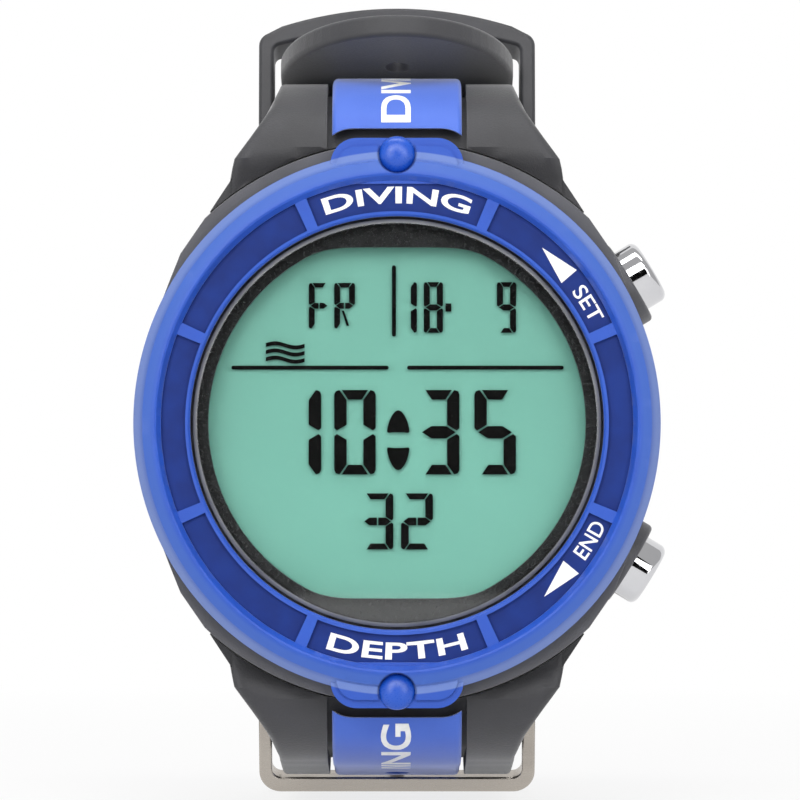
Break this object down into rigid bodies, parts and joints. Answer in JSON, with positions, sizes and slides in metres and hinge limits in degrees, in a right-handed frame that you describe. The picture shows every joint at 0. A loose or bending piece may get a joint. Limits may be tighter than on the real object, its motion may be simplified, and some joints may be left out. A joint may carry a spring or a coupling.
{
  "type": "wrist dive computer",
  "caption": "Round wrist dive computer with a segment display, two push-buttons and a buckled rubber strap.",
  "frame": {"origin": "centre of the lens's flat front face", "axes": "-Y out of the face towards the wearer's eyes, +Z towards 12 o'clock, +X towards the push-buttons"},
  "size_m": [0.0508, 0.0579, 0.0786],
  "materials": {
    "blue_bezel": "moulded, satin",
    "blue_rubber": "soft matte",
    "black_case": "glass-filled, fine matte",
    "black_rubber": "soft matte",
    "lens_glass": "polished",
    "display_black": "matte",
    "display_panel": "anti-glare",
    "white_plastic": "satin",
    "board": "solder mask",
    "chrome": "polished",
    "steel": "brushed",
    "brass": "rolled",
    "seal_rubber": "smooth"
  },
  "bodies": {
    "case_and_strap": {"back_cover": "black_case", "back_gasket": "seal_rubber", "back_screw_1": "steel", "back_screw_2": "steel", "back_screw_3": "steel", "back_screw_4": "steel", "backlight_plate": "white_plastic", "battery_cell": "steel", "battery_contact_negative": "brass", "battery_contact_positive": "brass", "battery_cover_o_ring": "seal_rubber", "bezel_ring": "blue_bezel", "bezel_rivet_bottom": "blue_bezel", "bezel_rivet_top": "blue_bezel", "buckle_spring_bar": "steel", "button_lower_guard": "black_case", "button_lower_o_ring": "seal_rubber", "button_lower_spring": "steel", "button_lower_switch": "white_plastic", "button_upper_guard": "black_case", "button_upper_o_ring": "seal_rubber", "button_upper_spring": "steel", "button_upper_switch": "white_plastic", "case_body": "black_case", "circuit_board": "board", "connector_strip_lower": "seal_rubber", "connector_strip_upper": "seal_rubber", "display_mask": "display_black", "lcd_panel": "display_panel", "lens": "lens_glass", "lens_gasket": "seal_rubber", "module_frame": "white_plastic", "pressure_sensor": "steel", "processor_chip": "display_black", "sensor_o_ring": "seal_rubber", "sounder_disc": "brass", "strap_lower": "black_rubber", "strap_lower_inlay": "blue_rubber", "strap_pin_lower": "steel", "strap_pin_upper": "steel", "strap_upper": "black_rubber", "strap_upper_inlay": "blue_rubber"},
    "upper_button": {"button_upper_cap": "chrome", "button_upper_clip": "steel"},
    "lower_button": {"button_lower_cap": "chrome", "button_lower_clip": "steel"},
    "battery_hatch": {"battery_cover": "black_case"},
    "keeper": {"strap_keeper": "black_rubber"},
    "buckle": {"buckle_frame": "steel"},
    "prong": {"buckle_prong": "steel"}
  },
  "joints": [
    {"name": "button_upper_press", "type": "slide", "parent": "case_and_strap", "child": "upper_button", "axis": [-0.8549, 0, -0.5188], "range_m": [0, 0.0009], "stiffness_N_per_m": 1200, "springref_m": -0.001, "deforming": ["button_upper_spring"]},
    {"name": "button_lower_press", "type": "slide", "parent": "case_and_strap", "child": "lower_button", "axis": [-0.8549, 0, 0.5188], "range_m": [0, 0.0009], "stiffness_N_per_m": 1200, "springref_m": -0.001, "deforming": ["button_lower_spring"]},
    {"name": "battery_cover_turn", "type": "hinge", "parent": "case_and_strap", "child": "battery_hatch", "pos_m": [0, 0.0155, 0], "axis": [0, 1, 0], "range_deg": [0, 60]},
    {"name": "keeper_slide", "type": "slide", "parent": "case_and_strap", "child": "keeper", "axis": [0, 0.9833, -0.1822], "range_m": [-0.001, 0.002]},
    {"name": "buckle_swing", "type": "hinge", "parent": "case_and_strap", "child": "buckle", "pos_m": [0, 0.0425, -0.0285], "axis": [1, 0, 0], "range_deg": [-3, 3]},
    {"name": "prong_lift", "type": "hinge", "parent": "buckle", "child": "prong", "pos_m": [0, 0.0425, -0.0285], "axis": [1, 0, 0], "range_deg": [0, 3]}
  ]
}
